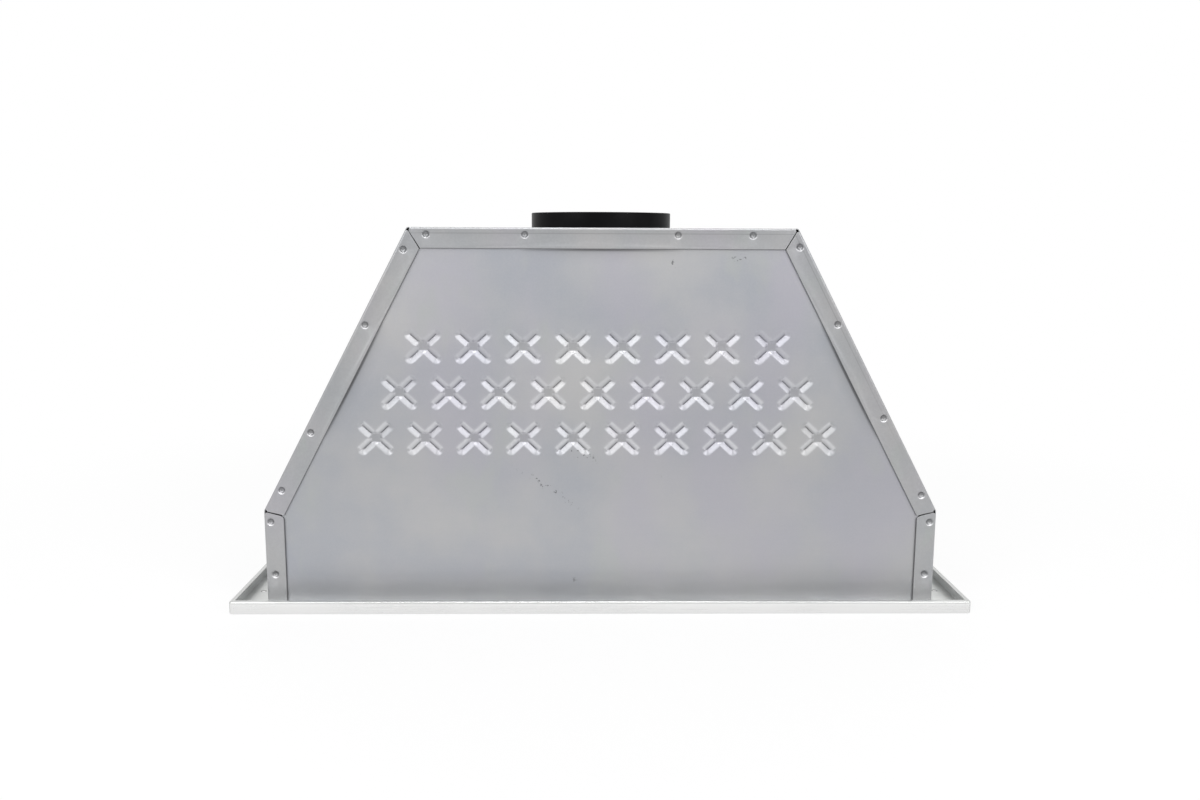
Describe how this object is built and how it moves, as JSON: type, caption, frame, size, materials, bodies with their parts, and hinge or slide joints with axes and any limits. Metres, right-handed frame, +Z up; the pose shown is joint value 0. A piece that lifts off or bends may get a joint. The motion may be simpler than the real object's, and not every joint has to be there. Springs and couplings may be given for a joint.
{
  "type": "range hood",
  "caption": "Built-in range hood insert: tapered galvanised casing with cross pressings in a bright steel tray, round duct collar on top, baffle filters and controls below.",
  "frame": {"origin": "middle of the tray's underside, on the surface that the hood stands on", "axes": "+X to the right along the tray, +Y to the rear, +Z up along the duct collar"},
  "size_m": [0.72, 0.336, 0.386],
  "materials": {
    "stainless": "bright, fine-grained",
    "galvanised": "zinc-coated sheet with faint clouds",
    "collar_plastic": "moulded black",
    "flap_plastic": "moulded black",
    "zinc_hardware": "zinc-plated",
    "wheel_metal": "satin",
    "motor_metal": "satin die-cast",
    "steel_dark": "laminated core",
    "copper": "enamelled wire",
    "rubber": "soft",
    "box_plastic": "moulded pale grey",
    "board": "printed circuit board",
    "terminal": "moulded green",
    "capacitor": "drawn can",
    "gland_plastic": "moulded black",
    "bezel_plastic": "gloss black",
    "button_metal": "satin chrome",
    "lamp_metal": "spun can",
    "lens": "frosted",
    "filter_steel": "brushed"
  },
  "bodies": {
    "casing": {"tray": "stainless", "casing_wrap": "galvanised", "front_panel": "galvanised", "rear_panel": "galvanised", "foot_rivets": "zinc_hardware", "duct_collar": "collar_plastic", "damper_pin": "zinc_hardware", "collar_screws": "zinc_hardware", "outlet_frame": "galvanised", "volute_band": "galvanised", "volute_front_plate": "galvanised", "volute_back_plate": "galvanised", "inlet_ring": "galvanised", "motor_stator": "steel_dark", "motor_windings": "copper", "motor_case": "motor_metal", "motor_cover": "motor_metal", "motor_bearings": "zinc_hardware", "motor_screws": "zinc_hardware", "motor_bushes": "rubber", "control_box": "box_plastic", "control_lid": "box_plastic", "control_board": "board", "terminal_block": "terminal", "capacitor": "capacitor", "capacitor_clamp": "zinc_hardware", "cable_gland": "gland_plastic", "gland_nut": "gland_plastic", "control_bezel": "bezel_plastic", "switch_board": "board", "switches": "gland_plastic", "switch_cover": "galvanised", "lamp_left_housing": "lamp_metal", "lamp_left_lens": "lens", "lamp_right_housing": "lamp_metal", "lamp_right_lens": "lens", "lamp_boards": "board", "lamp_clips": "zinc_hardware", "filter_rail": "filter_steel", "filter_divider": "stainless", "filter_clips": "zinc_hardware"},
    "blower_rotor": {"wheel_back_disc": "wheel_metal", "wheel_blades": "wheel_metal", "wheel_end_ring": "wheel_metal", "wheel_nut": "zinc_hardware", "motor_shaft": "zinc_hardware", "motor_rotor": "steel_dark"},
    "flap_left": {"damper_flap_left": "flap_plastic"},
    "flap_right": {"damper_flap_right": "flap_plastic"},
    "filter_left": {"filter_left_frame": "filter_steel", "filter_left_baffles": "filter_steel", "filter_left_handle": "filter_steel"},
    "filter_right": {"filter_right_frame": "filter_steel", "filter_right_baffles": "filter_steel", "filter_right_handle": "filter_steel"},
    "push_light": {"button_light": "button_metal"},
    "push_stop": {"button_stop": "button_metal"},
    "push_low": {"button_low": "button_metal"},
    "push_medium": {"button_medium": "button_metal"},
    "push_high": {"button_high": "button_metal"}
  },
  "joints": [
    {"name": "blower_spin", "type": "hinge", "parent": "casing", "child": "blower_rotor", "pos_m": [-0.079, 0, 0.205], "axis": [0, -1, 0], "continuous": true},
    {"name": "flap_left_swing", "type": "hinge", "parent": "casing", "child": "flap_left", "pos_m": [0, 0, 0.372], "axis": [0, 1, 0], "range_deg": [0, 75]},
    {"name": "flap_right_swing", "type": "hinge", "parent": "casing", "child": "flap_right", "pos_m": [0, 0, 0.372], "axis": [0, -1, 0], "range_deg": [0, 75]},
    {"name": "filter_left_swing", "type": "hinge", "parent": "casing", "child": "filter_left", "pos_m": [-0.159, 0.118, 0.0275], "axis": [1, 0, 0], "range_deg": [0, 75]},
    {"name": "filter_right_swing", "type": "hinge", "parent": "casing", "child": "filter_right", "pos_m": [0.159, 0.118, 0.0275], "axis": [1, 0, 0], "range_deg": [0, 75]},
    {"name": "push_light_travel", "type": "slide", "parent": "casing", "child": "push_light", "axis": [0, 0, 1], "range_m": [0, 0.002], "stiffness_N_per_m": 400, "springref_m": -0.001},
    {"name": "push_stop_travel", "type": "slide", "parent": "casing", "child": "push_stop", "axis": [0, 0, 1], "range_m": [0, 0.002], "stiffness_N_per_m": 400, "springref_m": -0.001},
    {"name": "push_low_travel", "type": "slide", "parent": "casing", "child": "push_low", "axis": [0, 0, 1], "range_m": [0, 0.002], "stiffness_N_per_m": 400, "springref_m": -0.001},
    {"name": "push_medium_travel", "type": "slide", "parent": "casing", "child": "push_medium", "axis": [0, 0, 1], "range_m": [0, 0.002], "stiffness_N_per_m": 400, "springref_m": -0.001},
    {"name": "push_high_travel", "type": "slide", "parent": "casing", "child": "push_high", "axis": [0, 0, 1], "range_m": [0, 0.002], "stiffness_N_per_m": 400, "springref_m": -0.001}
  ]
}
